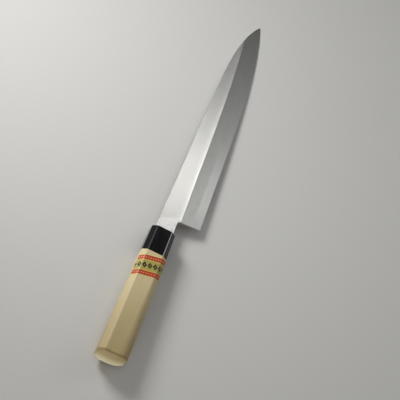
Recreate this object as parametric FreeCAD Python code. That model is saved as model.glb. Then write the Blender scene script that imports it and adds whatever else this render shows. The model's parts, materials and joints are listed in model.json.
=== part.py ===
"""Yanagiba: a single-bevel slicing knife with a tapered octagonal wooden handle.

While it is built the knife lies along its handle's axis: X towards the cutting edge, Y towards
the tip and Z towards the bevelled face, with zero on the axis at the ferrule's front face.
At the end every piece is moved together, so that the origin is at the middle of the bottom of
the knife's box.
"""
import FreeCAD, Part
import math
import os

# Blade outline, seen from the bevelled side
EDGE_LENGTH = 238.2         # heel corner to tip, along the handle's axis
NECK_LENGTH = 20.6          # ferrule's front face to the heel corner
HEEL_DROP = 30.2            # handle's axis to the heel corner
TIP_DROP = 12.2             # handle's axis to the tip
EDGE_HEEL_ANGLE = 1.85      # degrees by which the edge runs in from the heel
EDGE_HEEL_LEAD = 84.0       # reach of the nearly straight part of the edge
EDGE_TIP_ANGLE = 18.5       # degrees between the edge and the axis at the tip
EDGE_TIP_LEAD = 51.0        # reach of the belly at the tip
SPINE_RISE = 7.6            # handle's axis to the spine, at the ferrule's face
SPINE_ANGLE = 0.95          # degrees by which the straight spine runs down towards the tip
SPINE_CURVE_LENGTH = 120.0  # length of the part of the spine that curves, back from the tip
SPINE_LEAD = 67.0           # reach of the straight spine into its curve
SPINE_TIP_ANGLE = 30.0      # degrees between the spine and the axis at the tip
SPINE_TIP_LEAD = 29.5       # reach of the drop at the tip
NECK_DEPTH = 8.8            # handle's axis to the neck's lower side
HEEL_SLANT = 4.0            # how far back of the heel corner the notch lies
NOTCH_RADIUS = 3.0          # inner corner between the neck and the heel
HEEL_ROUND = 0.6            # heel corner, eased

# Blade section
NECK_THICKNESS = 3.8        # at the ferrule's face
TIP_THICKNESS = 1.7         # of the flat's plane, carried on to the tip
BEVEL_WIDTH = 19.3          # ridge to edge
BEVEL_TIP_WIDTH = 14.8      # what the width runs down to at the tip
EDGE_LAND = 0.08            # thickness left at the cutting edge
SPINE_EASE = 0.35           # chamfer along the spine's upper corner
STEEL_HEEL_THICKNESS = 1.1  # hard steel layer on the back, at the heel
STEEL_TIP_THICKNESS = 0.55
STEEL_START = 9.0           # ferrule's face to the start of the steel layer
HOLLOW_DEPTH = 0.42         # hollow ground into the back, at its widest
HOLLOW_RIM = 3.2            # flat rim left along spine and edge
HOLLOW_HEEL_GAP = 9.0       # heel corner to the start of the hollow
HOLLOW_TIP_GAP = 22.0       # end of the hollow to the tip
HOLLOW_STATIONS = (0.004, 0.03, 0.1, 0.3, 0.55, 0.8, 0.95, 0.996)   # along the hollow, from 0 to 1
HOLLOW_SQUARENESS = 8       # how bluntly the hollow's ends close

# Tang
SHOULDER_GAP = 2.5          # ferrule's face to the neck's shoulders
TANG_LENGTH = 94.0          # ferrule's face to the tang's end
TANG_ROOT_HEIGHT = 10.0
TANG_END_HEIGHT = 4.4
TANG_ROOT_THICKNESS = 3.3
TANG_END_THICKNESS = 2.2
TANG_CLEARANCE = 0.15       # all round, in the wood
TANG_HOLE_SPARE = 2.0       # hole beyond the tang's end

# Handle
HANDLE_LENGTH = 129.5       # ferrule's front face to the butt
FERRULE_LENGTH = 26.0
FRONT_WIDTH = 21.9          # ferrule's front
FRONT_HEIGHT = 18.3
JOINT_WIDTH = 23.1          # where ferrule and wood meet
JOINT_HEIGHT = 18.7
BUTT_WIDTH = 26.7
BUTT_HEIGHT = 21.6
TOP_FLAT_SHARE = 0.62       # top facet, as a share of the width
SIDE_FLAT_SHARE = 0.57      # side facet, as a share of the height
FRONT_ARRIS = 0.9           # radius of the edges between the facets, at the ferrule's front
JOINT_ARRIS = 1.2
BUTT_ARRIS = 4.0            # worn softer towards the butt
BUTT_FINGER_ARRIS = 11.0    # the two arrises under the fingers, on the edge's side, are rounder still
ARRIS_LIMIT = 0.7           # how much of a facet one arris may take up, as a share
BUTT_ROUND = 2.2            # rounded rim of the butt
FERRULE_EASE = 0.5          # chamfer round the ferrule's front
TENON_DIAMETER = 14.0
TENON_CLEARANCE = 0.1       # on the radius, in the ferrule
TENON_SETBACK = 0.4         # tenon's end behind the ferrule's face

# Label
LABEL_GAP = 3.8             # ferrule's joint to the label, along the middle line
LABEL_LENGTH = 21.0
LABEL_THICKNESS = 0.15
LABEL_LOWER_EDGE = 5.6      # height of the label's two ends above the axis
LABEL_TURN = 12.0           # degrees by which the label was stuck on askew

CUT_MARGIN = 5.0            # how far a cutting body reaches past what it cuts
JOIN_OVERLAP = 1.0          # how far two bodies of one piece reach into each other

BACK_Z = -NECK_THICKNESS / 2
HEEL_Y = NECK_LENGTH
TIP_Y = NECK_LENGTH + EDGE_LENGTH


def point(x, y, z=0.0):
    """A point of the knife."""
    return FreeCAD.Vector(x, y, z)


def along(start, reach, degrees):
    """A point at a reach from start, at an angle from +Y towards +X."""
    turn = math.radians(degrees)
    return start + point(reach * math.sin(turn), reach * math.cos(turn))


def polygon(points):
    """A closed wire through the points."""
    return Part.makePolygon(points + points[:1])


def bezier(poles):
    """A curve pulled by its poles."""
    curve = Part.BezierCurve()
    curve.setPoles(poles)
    return curve


def spine_x(y):
    """Place of the straight spine across the knife."""
    return -SPINE_RISE + y * math.tan(math.radians(SPINE_ANGLE))


def spine_poles():
    """Poles of the spine's curve, from the straight part to the tip."""
    start_y = TIP_Y - SPINE_CURVE_LENGTH
    start = point(spine_x(start_y), start_y)
    tip = point(TIP_DROP, TIP_Y)
    from_straight = along(start, SPINE_LEAD, SPINE_ANGLE)
    return [start, from_straight, along(tip, -SPINE_TIP_LEAD, SPINE_TIP_ANGLE), tip]


def edge_poles():
    """Poles of the cutting edge, from the heel corner to the tip."""
    heel = point(HEEL_DROP, HEEL_Y)
    tip = point(TIP_DROP, TIP_Y)
    from_heel = along(heel, EDGE_HEEL_LEAD, -EDGE_HEEL_ANGLE)
    return [heel, from_heel, along(tip, -EDGE_TIP_LEAD, -EDGE_TIP_ANGLE), tip]


def flat_z(y):
    """Height of the flat above the bevel, which thins towards the tip."""
    return BACK_Z + NECK_THICKNESS + (TIP_THICKNESS - NECK_THICKNESS) * y / TIP_Y


def steel_z(y):
    """Height of the weld between the steel and the iron."""
    share = (y - HEEL_Y) / EDGE_LENGTH
    return BACK_Z + STEEL_HEEL_THICKNESS + (STEEL_TIP_THICKNESS - STEEL_HEEL_THICKNESS) * share


def above(height_at, y_from, y_to):
    """A body that fills all that lies above a sloping plane."""
    top = NECK_THICKNESS + CUT_MARGIN
    side = [(y_from, height_at(y_from)), (y_to, height_at(y_to)), (y_to, top), (y_from, top)]
    x_from = -SPINE_RISE - CUT_MARGIN
    face = Part.Face(polygon([point(x_from, y, z) for y, z in side]))
    return face.extrude(point(HEEL_DROP + CUT_MARGIN - x_from, 0))


def blade_blank():
    """The blade and its neck as a plate with upright sides."""
    neck_end = point(-SPINE_RISE + SHOULDER_GAP * math.tan(math.radians(SPINE_ANGLE)), SHOULDER_GAP)
    spine, edge = spine_poles(), edge_poles()
    notch = point(NECK_DEPTH, HEEL_Y - HEEL_SLANT)
    lower_end = point(NECK_DEPTH, SHOULDER_GAP)
    sides = [
        Part.LineSegment(neck_end, spine[0]).toShape(),
        bezier(spine).toShape(),
        bezier(edge).toShape(),
        Part.LineSegment(edge[0], notch).toShape(),
        Part.LineSegment(notch, lower_end).toShape(),
        Part.LineSegment(lower_end, neck_end).toShape(),
    ]
    face = Part.Face(Part.Wire(sides))
    face.translate(point(0, 0, BACK_Z))
    blank = face.extrude(point(0, 0, NECK_THICKNESS))
    blank = blank.makeFillet(NOTCH_RADIUS, upright_edges_at(blank, notch))
    return blank.makeFillet(HEEL_ROUND, upright_edges_at(blank, edge[0]))


def upright_edges_at(shape, place):
    """The upright edges of a plate at one corner of its outline."""
    found = []
    for side in shape.Edges:
        ends = [v.Point for v in side.Vertexes]
        if all(math.hypot(p.x - place.x, p.y - place.y) < 1e-6 for p in ends):
            found.append(side)
    return found


def bevel_cutters():
    """All that the bevel grinds away: a ruled surface from edge to ridge, carried past both."""
    def row(share):
        poles = []
        for p, width in zip(edge_poles(), [BEVEL_WIDTH] * 3 + [BEVEL_TIP_WIDTH]):
            rise = flat_z(p.y) - BACK_Z - EDGE_LAND
            poles.append(point(p.x - share * width, p.y, BACK_Z + EDGE_LAND + share * rise))
        return poles

    outside, inside = row(-CUT_MARGIN / BEVEL_WIDTH), row(2)
    back = (outside[1] - outside[0]).normalize() * -CUT_MARGIN
    lift = point(0, 0, 2 * NECK_THICKNESS)
    along_edge = Part.makeRuledSurface(bezier(outside).toShape(), bezier(inside).toShape())
    heel_lines = [Part.LineSegment(p[0] + back, p[0]).toShape() for p in (outside, inside)]
    behind_heel = Part.makeRuledSurface(*heel_lines)
    return along_edge.extrude(lift), behind_heel.extrude(lift)


def back_hollow():
    """The hollow ground into the back, a long lens that runs out before the heel and the tip."""
    edge, spine = bezier(edge_poles()), bezier(spine_poles())
    start_y = HEEL_Y + HOLLOW_HEEL_GAP
    end_y = TIP_Y - HOLLOW_TIP_GAP
    widest = outline_x(edge, start_y) - spine_x(start_y) - 2 * HOLLOW_RIM

    def sides(y):
        spine_side = spine_x(y) if y < spine.StartPoint.y else outline_x(spine, y)
        return spine_side + HOLLOW_RIM, outline_x(edge, y) - HOLLOW_RIM

    def section(share):
        y = start_y + share * (end_y - start_y)
        fullness = math.sqrt(1 - abs(2 * share - 1) ** HOLLOW_SQUARENESS)
        left, right = sides(y)
        middle, half = (left + right) / 2, (right - left) / 2 * fullness
        depth = HOLLOW_DEPTH * 2 * half / widest
        ends = point(middle - half, y, BACK_Z), point(middle + half, y, BACK_Z)
        roof = Part.Arc(ends[0], point(middle, y, BACK_Z + depth), ends[1]).toShape()
        below = point(0, 0, -HOLLOW_DEPTH)
        floor = Part.makePolygon([ends[1], ends[1] + below, ends[0] + below, ends[0]])
        return Part.Wire([roof] + floor.Edges)

    return Part.makeLoft([section(share) for share in HOLLOW_STATIONS], True, False)


def outline_x(curve, y):
    """Where a curve of the outline crosses one distance along the knife."""
    low, high = curve.FirstParameter, curve.LastParameter
    rising = curve.value(high).y > curve.value(low).y
    for _ in range(60):
        middle = (low + high) / 2
        if (curve.value(middle).y < y) == rising:
            low = middle
        else:
            high = middle
    return curve.value(low).x


def tang(clearance=0.0, spare=0.0):
    """The tapered tang from the neck's shoulders, or the hole that it fits."""
    def section(y, height, thickness):
        x, z = height / 2 + clearance, thickness / 2 + clearance
        return polygon([point(-x, y, -z), point(x, y, -z), point(x, y, z), point(-x, y, z)])

    end = section(-TANG_LENGTH - spare, TANG_END_HEIGHT, TANG_END_THICKNESS)
    root = section(SHOULDER_GAP + JOIN_OVERLAP, TANG_ROOT_HEIGHT, TANG_ROOT_THICKNESS)
    return tapered(end, root)


def blade():
    """Iron and steel of the blade still in one, ground to its section."""
    body = blade_blank()
    body = body.cut(above(flat_z, -CUT_MARGIN, TIP_Y + CUT_MARGIN))
    for cutter in bevel_cutters():
        body = body.cut(cutter)
    body = body.makeChamfer(SPINE_EASE, spine_corner(body))
    return body.cut(back_hollow())


def spine_corner(body):
    """The edges along the spine's upper corner."""
    curve = bezier(spine_poles())
    found = []
    for side in body.Edges:
        middle = side.valueAt((side.FirstParameter + side.LastParameter) / 2)
        spine = spine_x(middle.y) if middle.y < curve.StartPoint.y else outline_x(curve, middle.y)
        if abs(middle.x - spine) < 1e-4 and abs(middle.z - flat_z(middle.y)) < 1e-4:
            found.append(side)
    return found


def steel_layer():
    """The space of the hard steel on the blade's back."""
    low = BACK_Z - CUT_MARGIN
    y_end = TIP_Y + CUT_MARGIN
    side = [(STEEL_START, low), (y_end, low), (y_end, steel_z(y_end)), (STEEL_START, steel_z(STEEL_START))]
    x_from = -SPINE_RISE - CUT_MARGIN
    face = Part.Face(polygon([point(x_from, y, z) for y, z in side]))
    return face.extrude(point(HEEL_DROP + CUT_MARGIN - x_from, 0))


def octagon(width, height, arris, finger_arris, y, grow=0.0):
    """The handle's section: eight facets with soft arrises, two of them under the fingers."""
    x, z = width / 2 + grow, height / 2 + grow
    ease = grow * math.tan(math.pi / 8)
    flat, side = width / 2 * TOP_FLAT_SHARE + ease, height / 2 * SIDE_FLAT_SHARE + ease
    corners = [(flat, z), (x, side), (x, -side), (flat, -z), (-flat, -z), (-x, -side), (-x, side), (-flat, z)]
    places = [point(cx, y, cz) for cx, cz in corners]
    under_fingers = (0, 3)
    edges, last = [], None
    for i, corner in enumerate(places):
        before, after = places[i - 1] - corner, places[(i + 1) % 8] - corner
        most = ARRIS_LIMIT * min(before.Length, after.Length)
        before.normalize()
        after.normalize()
        half = before.getAngle(after) / 2
        wanted = finger_arris if i in under_fingers else arris
        setback = min((wanted + grow) / math.tan(half), most)
        radius = setback * math.tan(half)
        middle = corner + (before + after).normalize() * (radius / math.sin(half) - radius)
        enter, leave = corner + before * setback, corner + after * setback
        if last is not None:
            edges.append(Part.LineSegment(last, enter).toShape())
        else:
            first = enter
        edges.append(Part.Arc(enter, middle, leave).toShape())
        last = leave
    edges.append(Part.LineSegment(last, first).toShape())
    return Part.Wire(edges)


def wood_size(y):
    """Width, height and the two arris radii of the wood at one distance along the knife."""
    share = (-FERRULE_LENGTH - y) / (HANDLE_LENGTH - FERRULE_LENGTH)
    joint = (JOINT_WIDTH, JOINT_HEIGHT, JOINT_ARRIS, JOINT_ARRIS)
    butt = (BUTT_WIDTH, BUTT_HEIGHT, BUTT_ARRIS, BUTT_FINGER_ARRIS)
    return [a + (b - a) * share for a, b in zip(joint, butt)]


def tapered(rear, front):
    """A straight taper between two sections of one pattern, with its flat facets as true planes."""
    sides = []
    for face in Part.makeLoft([rear, front], True, True).Faces:
        if face.OuterWire.findPlane():
            plane = Part.Plane(face.CenterOfMass, outward(face))
            face = Part.Face(plane, face.OuterWire)
        sides.append(face)
    return Part.makeSolid(Part.makeShell(sides))


def outward(face):
    """The direction that the middle of a face looks in."""
    u_from, u_to, v_from, v_to = face.ParameterRange
    return face.normalAt((u_from + u_to) / 2, (v_from + v_to) / 2)


def wood_body(y_from, y_to, grow=0.0):
    """A length of the tapered octagon of the wood."""
    rear, front = (octagon(*wood_size(y), y, grow) for y in (y_from, y_to))
    return tapered(rear, front)


def rim_edges(shape, y):
    """The edges of a shape that lie in one plane square to the handle."""
    return [e for e in shape.Edges if all(abs(v.Point.y - y) < 1e-6 for v in e.Vertexes)]


def handle_wood():
    """The wooden grip with its round tenon and the hole for the tang."""
    grip = wood_body(-HANDLE_LENGTH, -FERRULE_LENGTH)
    grip = grip.makeFillet(BUTT_ROUND, rim_edges(grip, -HANDLE_LENGTH))
    tenon_start = point(0, -FERRULE_LENGTH - JOIN_OVERLAP, 0)
    reach = FERRULE_LENGTH + JOIN_OVERLAP - TENON_SETBACK
    tenon = Part.makeCylinder(TENON_DIAMETER / 2, reach, tenon_start, point(0, 1, 0))
    return grip.fuse(tenon).cut(tang(TANG_CLEARANCE, TANG_HOLE_SPARE)).removeSplitter()


def ferrule():
    """The black ring that holds the wood's front end round the tang."""
    rear = octagon(JOINT_WIDTH, JOINT_HEIGHT, JOINT_ARRIS, JOINT_ARRIS, -FERRULE_LENGTH)
    front = octagon(FRONT_WIDTH, FRONT_HEIGHT, FRONT_ARRIS, FRONT_ARRIS, 0.0)
    ring = tapered(rear, front)
    ring = ring.makeChamfer(FERRULE_EASE, rim_edges(ring, 0.0))
    bore_start = point(0, -FERRULE_LENGTH - CUT_MARGIN, 0)
    bore_radius = TENON_DIAMETER / 2 + TENON_CLEARANCE
    bore_length = FERRULE_LENGTH + 2 * CUT_MARGIN
    return ring.cut(Part.makeCylinder(bore_radius, bore_length, bore_start, point(0, 1, 0)))


def label():
    """The paper label over the upper facets of the wood."""
    middle = -FERRULE_LENGTH - LABEL_GAP - LABEL_LENGTH / 2
    reach = LABEL_LENGTH / 2 + CUT_MARGIN
    outside = wood_body(middle - reach, middle + reach, LABEL_THICKNESS)
    sheet = outside.cut(wood_body(middle - reach - CUT_MARGIN, middle + reach + CUT_MARGIN))
    upper = Part.makeBox(2 * BUTT_WIDTH, LABEL_LENGTH, BUTT_HEIGHT,
                         point(-BUTT_WIDTH, middle - LABEL_LENGTH / 2, LABEL_LOWER_EDGE))
    upper.rotate(point(0, middle), point(0, 0, 1), LABEL_TURN)
    return sheet.common(upper)


def main():
    """Build the pieces, move them to the knife's origin and write them."""
    ground = blade()
    layer = steel_layer()
    pieces = {
        "blade_iron": ground.cut(layer).fuse(tang()).removeSplitter(),
        "edge_steel": ground.common(layer),
        "ferrule": ferrule(),
        "handle_wood": handle_wood(),
        "paper_label": label(),
    }
    box = Part.makeCompound(list(pieces.values())).optimalBoundingBox(False)
    move = point(-box.Center.x, -box.Center.y, -box.ZMin)
    print("moved by", move, "box", box)
    os.makedirs("parts", exist_ok=True)
    for name, shape in pieces.items():
        solids = shape.Solids
        print(name, "solids", len(solids), "volume", round(shape.Volume, 2), "valid", shape.isValid())
        solid = solids[0] if len(solids) == 1 else shape
        solid.translated(move).exportStep("parts/%s.step" % name)


main()
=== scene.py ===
"""Looks of a yanagiba knife: ground steel, black horn, pale wood and a printed paper wrap.

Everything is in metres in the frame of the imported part. X runs towards the cutting edge, Y towards the
tip and Z out of the bevelled face. Colours are linear, and srgb() makes them from display levels.
"""
from __future__ import annotations

import json
import logging
import math
from contextlib import contextmanager
from dataclasses import dataclass, field
from enum import Enum
from typing import Callable, Iterable, Iterator, Mapping, Optional, Sequence, Union

import bmesh
import bpy
from mathutils import Matrix, Vector

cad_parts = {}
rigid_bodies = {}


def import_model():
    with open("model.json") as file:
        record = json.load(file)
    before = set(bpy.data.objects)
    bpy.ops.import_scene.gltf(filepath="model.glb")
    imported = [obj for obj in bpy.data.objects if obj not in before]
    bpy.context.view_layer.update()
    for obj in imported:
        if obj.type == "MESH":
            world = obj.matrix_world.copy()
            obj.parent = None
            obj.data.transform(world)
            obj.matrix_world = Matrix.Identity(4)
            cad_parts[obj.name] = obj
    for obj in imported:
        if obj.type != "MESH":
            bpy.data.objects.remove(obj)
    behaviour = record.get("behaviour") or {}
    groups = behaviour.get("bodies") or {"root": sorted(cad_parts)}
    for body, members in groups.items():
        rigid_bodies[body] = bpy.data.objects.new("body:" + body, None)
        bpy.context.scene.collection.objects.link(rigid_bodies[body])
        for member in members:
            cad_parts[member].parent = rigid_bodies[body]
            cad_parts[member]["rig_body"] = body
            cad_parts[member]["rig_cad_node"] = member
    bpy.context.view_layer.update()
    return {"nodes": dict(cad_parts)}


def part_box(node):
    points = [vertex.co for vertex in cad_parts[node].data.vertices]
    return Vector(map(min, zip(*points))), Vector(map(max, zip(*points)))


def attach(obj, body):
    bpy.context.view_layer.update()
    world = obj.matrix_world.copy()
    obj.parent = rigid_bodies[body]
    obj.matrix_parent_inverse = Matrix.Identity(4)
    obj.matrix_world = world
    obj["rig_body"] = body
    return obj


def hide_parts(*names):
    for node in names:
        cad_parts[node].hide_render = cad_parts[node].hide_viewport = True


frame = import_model()

MM = 0.001
BODY = "root"
MIDDLE = 0.5
NOISE_MEAN = 0.5
ROW_DIGITS = 5
FACE_WEIGHT = 90
LOG = logging.getLogger("knife")

Colour = tuple[float, float, float, float]
Stretch = tuple[float, float]


class Node(Enum):
    """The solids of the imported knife."""

    IRON = "blade_iron"
    STEEL = "edge_steel"
    FERRULE = "ferrule"
    WOOD = "handle_wood"
    LABEL = "paper_label"


class Slot(Enum):
    """The record's material slots."""

    IRON = "blade_iron"
    STEEL = "edge_steel"
    HORN = "black_horn"
    WOOD = "pale_wood"
    PAPER = "label_paper"


class IronFace(Enum):
    """The finishes of the iron body, by material index."""

    FLAT = 0
    BEVEL = 1
    LINE = 2


class SteelFace(Enum):
    """The finishes of the edge steel, by material index. The bevel has the iron body's index."""

    RIM = 0
    BEVEL = 1
    HOLLOW = 2


class Coords(Enum):
    """Where a pattern takes its place from."""

    OBJECT = "Object"
    UV = "UV"
    SKY = "Generated"


def srgb(red: float, green: float, blue: float) -> Colour:
    """Turns a display colour into the linear one that a shader takes.

    Args:
        red: Red from 0 to 255.
        green: Green from 0 to 255.
        blue: Blue from 0 to 255.

    Returns:
        The linear colour with full alpha.
    """
    def linear(level: float) -> float:
        """One channel from display to linear light."""
        share = level / 255
        return share / 12.92 if share <= 0.04045 else ((share + 0.055) / 1.055) ** 2.4
    return (linear(red), linear(green), linear(blue), 1.0)


class Signal:
    """One changing value in a shader, on which Python arithmetic adds Math nodes."""

    def __init__(self, shader: Shader, socket: bpy.types.NodeSocket) -> None:
        """Keeps the socket and the shader that further nodes go into."""
        self.shader = shader
        self.socket = socket

    def __add__(self, other: Number) -> Signal:
        """Self plus other."""
        return self.shader.math("ADD", self, other)

    __radd__ = __add__

    def __sub__(self, other: Number) -> Signal:
        """Self minus other."""
        return self.shader.math("SUBTRACT", self, other)

    def __rsub__(self, other: Number) -> Signal:
        """Other minus self."""
        return self.shader.math("SUBTRACT", other, self)

    def __mul__(self, other: Number) -> Signal:
        """Self times other."""
        return self.shader.math("MULTIPLY", self, other)

    __rmul__ = __mul__

    def __truediv__(self, other: Number) -> Signal:
        """Self divided by other."""
        return self.shader.math("DIVIDE", self, other)

    def __rtruediv__(self, other: Number) -> Signal:
        """Other divided by self."""
        return self.shader.math("DIVIDE", other, self)

    def __pow__(self, other: Number) -> Signal:
        """Self to the power of other."""
        return self.shader.math("POWER", self, other)

    def __mod__(self, other: Number) -> Signal:
        """What is left of self after whole steps of other."""
        return self.shader.math("FLOORED_MODULO", self, other)

    def __abs__(self) -> Signal:
        """Self without its sign."""
        return self.shader.math("ABSOLUTE", self)

    def root(self) -> Signal:
        """The square root."""
        return self.shader.math("SQRT", self)

    def sine(self) -> Signal:
        """The sine."""
        return self.shader.math("SINE", self)

    def rise(self, low: float, high: float) -> Signal:
        """A smooth step over a stretch of values.

        Args:
            low: Where the step leaves 0, or 1 if it is above high.
            high: Where the step arrives.

        Returns:
            The step, from 0 to 1.
        """
        if low > high:
            return 1.0 - self.rise(high, low)
        settings = {"interpolation_type": "SMOOTHSTEP"}
        sockets = {"Value": self, "From Min": low, "From Max": high}
        return self.shader.value(self.shader.node("ShaderNodeMapRange", settings, sockets))

    def clipped(self) -> Signal:
        """Self held between 0 and 1."""
        return self.shader.math("ADD", self, 0.0, clamp=True)

    def swing(self) -> Signal:
        """Noise about its mean, so that it runs both ways from 0."""
        return self - NOISE_MEAN


Number = Union[float, Signal]
Input = Union[float, Sequence[float], Signal, bpy.types.NodeSocket]


@dataclass(frozen=True)
class Grain:
    """One noise pattern.

    Attributes:
        cells: Cells per metre along each axis.
        detail: How many finer layers are added.
        roughness: How strong the finer layers are.
        distortion: How far the cells are pulled about.
        turn: How far the pattern is turned about Z, in radians.
    """

    cells: tuple[float, float, float]
    detail: float = 3.0
    roughness: float = 0.5
    distortion: float = 0.0
    turn: float = 0.0


class Shader:
    """A node tree that a finish is written into."""

    def __init__(self, tree: bpy.types.NodeTree) -> None:
        """Empties the tree."""
        self.tree = tree
        self.tree.nodes.clear()

    def node(self, kind: str, settings: Optional[Mapping[str, object]] = None,
             sockets: Optional[Mapping[Union[str, int], Input]] = None) -> bpy.types.Node:
        """Adds one node.

        Args:
            kind: The node's type.
            settings: Its properties.
            sockets: A value or a link for each input, by name or index.

        Returns:
            The new node.
        """
        made = self.tree.nodes.new(kind)
        for name, value in (settings or {}).items():
            setattr(made, name, value)
        for key, value in (sockets or {}).items():
            if isinstance(value, Signal):
                self.tree.links.new(value.socket, made.inputs[key])
            elif isinstance(value, bpy.types.NodeSocket):
                self.tree.links.new(value, made.inputs[key])
            else:
                made.inputs[key].default_value = value
        return made

    def value(self, made: bpy.types.Node, output: Union[str, int] = 0) -> Signal:
        """One output of a node as a signal."""
        return Signal(self, made.outputs[output])

    def math(self, operation: str, *values: Number, clamp: bool = False) -> Signal:
        """Adds one Math node.

        Args:
            operation: The node's operation.
            values: Its inputs in order.
            clamp: Whether the result is held between 0 and 1.

        Returns:
            The result.
        """
        settings = {"operation": operation, "use_clamp": clamp}
        return self.value(self.node("ShaderNodeMath", settings, dict(enumerate(values))))

    def place(self, coords: Coords = Coords.OBJECT) -> bpy.types.NodeSocket:
        """The place on the surface."""
        return self.node("ShaderNodeTexCoord").outputs[coords.value]

    def axes(self, coords: Coords = Coords.OBJECT) -> tuple[Signal, Signal, Signal]:
        """The three parts of the place on the surface."""
        split = self.node("ShaderNodeSeparateXYZ", None, {0: self.place(coords)})
        return self.value(split, 0), self.value(split, 1), self.value(split, 2)

    def attribute(self, name: str) -> Signal:
        """A number that the mesh carries at its points."""
        return self.value(self.node("ShaderNodeAttribute", {"attribute_name": name}), "Fac")

    def noise(self, grain: Grain) -> Signal:
        """A noise pattern over the object's own coordinates, turned first and then stretched.

        Args:
            grain: The pattern.

        Returns:
            The noise, mostly from 0.2 to 0.8 and about a half on average.
        """
        settings = {"vector_type": "POINT"}
        sockets = {"Vector": self.place(), "Rotation": (0.0, 0.0, grain.turn)}
        turned = self.node("ShaderNodeMapping", settings, sockets)
        sockets = {"Vector": turned.outputs[0], "Scale": grain.cells}
        stretched = self.node("ShaderNodeMapping", settings, sockets)
        sockets = {"Vector": stretched.outputs[0], "Scale": 1.0, "Detail": grain.detail,
                   "Roughness": grain.roughness, "Distortion": grain.distortion}
        return self.value(self.node("ShaderNodeTexNoise", {"noise_dimensions": "3D"}, sockets), "Fac")

    def mix(self, share: Number, first: Input, second: Input) -> bpy.types.NodeSocket:
        """Mixes two colours.

        Args:
            share: 0 for the first colour, 1 for the second.
            first: A colour or a link to one.
            second: A colour or a link to one.

        Returns:
            The mixed colour.
        """
        settings = {"data_type": "RGBA", "blend_type": "MIX"}
        return self.node("ShaderNodeMix", settings, {0: share, 6: first, 7: second}).outputs[2]

    def bump(self, height: Signal, strength: float, distance: float) -> bpy.types.NodeSocket:
        """Turns a height into a normal.

        Args:
            height: The height, in shares of the distance.
            strength: How strongly it shows, from 0 to 1.
            distance: The depth of a height of 1, in metres.

        Returns:
            The normal.
        """
        sockets = {"Strength": strength, "Distance": distance, "Height": height}
        return self.node("ShaderNodeBump", None, sockets).outputs[0]

    def surface(self, sockets: Mapping[str, Input]) -> None:
        """Ends the tree in a Principled surface.

        Args:
            sockets: The values or links of the surface's inputs.
        """
        skin = self.node("ShaderNodeBsdfPrincipled", None, sockets)
        self.node("ShaderNodeOutputMaterial", None, {"Surface": skin.outputs[0]})


@dataclass(frozen=True)
class Landmarks:
    """Places on the knife that finishes, floor and camera are measured from, read from the frame."""

    axis_x: float
    axis_z: float
    ferrule_front: float
    joint: float
    butt: float
    tip: Vector

    @classmethod
    def read(cls) -> Landmarks:
        """Takes the places from the nodes' boxes.

        Returns:
            The places.
        """
        ferrule_low, ferrule_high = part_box(Node.FERRULE.value)
        wood_low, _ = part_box(Node.WOOD.value)
        steel = frame["nodes"][Node.STEEL.value].data.vertices
        tip = max((vertex.co for vertex in steel), key=lambda place: (round(place.y, ROW_DIGITS), -place.z))
        return cls(
            axis_x=(ferrule_low.x + ferrule_high.x) / 2,
            axis_z=(ferrule_low.z + ferrule_high.z) / 2,
            ferrule_front=ferrule_high.y,
            joint=ferrule_low.y,
            butt=wood_low.y,
            tip=tip.copy(),
        )

    def point(self, x: float, y: float, z: float) -> Vector:
        """A point given from the middle of the ferrule's front face."""
        return Vector((self.axis_x + x, self.ferrule_front + y, self.axis_z + z))


MARKS = Landmarks.read()

# Where the edge's brighter stoning begins and ends, from the ferrule's front
STONED_FROM: Stretch = (22 * MM, 44 * MM)
STONED_TO: Stretch = (122 * MM, 64 * MM)


class Finish:
    """A surface that is written into a material of its own."""

    NAME = "finish"

    def write(self, shader: Shader) -> None:
        """Writes the surface's nodes."""
        raise NotImplementedError

    def make(self) -> bpy.types.Material:
        """Makes a material with this surface.

        Returns:
            The new material.
        """
        material = bpy.data.materials.new(self.NAME)
        material.use_nodes = True
        self.write(Shader(material.node_tree))
        return material


@dataclass(frozen=True)
class FlatPolish(Finish):
    """The blade's flat: soft iron buffed along its length to a bright satin."""

    NAME = "flat_polish"

    colour: Colour = srgb(232, 231, 226)
    dull_colour: Colour = srgb(208, 206, 198)
    roughness: float = 0.27
    cloud_roughness: float = 0.012
    lines: Grain = Grain((5200.0, 36.0, 900.0), detail=4.0, roughness=0.65)
    clouds: Grain = Grain((90.0, 34.0, 90.0), detail=4.0, roughness=0.6, distortion=0.6)
    cloud_rise: Stretch = (0.42, 0.72)
    dull: float = 0.14
    line_dull: float = 0.60
    cloud_dull: float = 0.06
    # Painted reflection: the flat's clouds grow darker over this length before the neck
    neck_reflection_share: float = 0.5
    neck_reflection_reach: float = 30 * MM
    # Painted highlight: how strongly, and over what span, the flat grows brighter towards the ridge
    ridge_highlight: float = 0.6
    ridge_highlight_rise: Stretch = (-0.30, 0.0)

    def write(self, shader: Shader) -> None:
        """Writes the surface's nodes.

        Args:
            shader: The material's shader.
        """
        _, along, _ = shader.axes()
        share = shader.attribute(Blade.SHARE)
        lines = shader.noise(self.lines)
        clouds = shader.noise(self.clouds)
        neck = along.rise(MARKS.ferrule_front + self.neck_reflection_reach, MARKS.ferrule_front)
        # Real clouds, with a painted reflection added: the clouds grow darker near the neck
        cloudy = clouds.rise(*self.cloud_rise) * (self.cloud_dull + self.neck_reflection_share * neck)
        dull = self.dull + self.line_dull * lines.swing() + cloudy
        colour = shader.mix(dull.clipped(), self.colour, self.dull_colour)
        # Painted highlight: the flat grows brighter towards the ridge
        colour = shader.mix(self.ridge_highlight * share.rise(*self.ridge_highlight_rise), colour, LinePolishHighlight.colour)
        shader.surface({
            "Base Color": colour,
            "Metallic": 1.0,
            "Roughness": self.roughness + self.cloud_roughness * clouds.swing(),
        })


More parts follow.
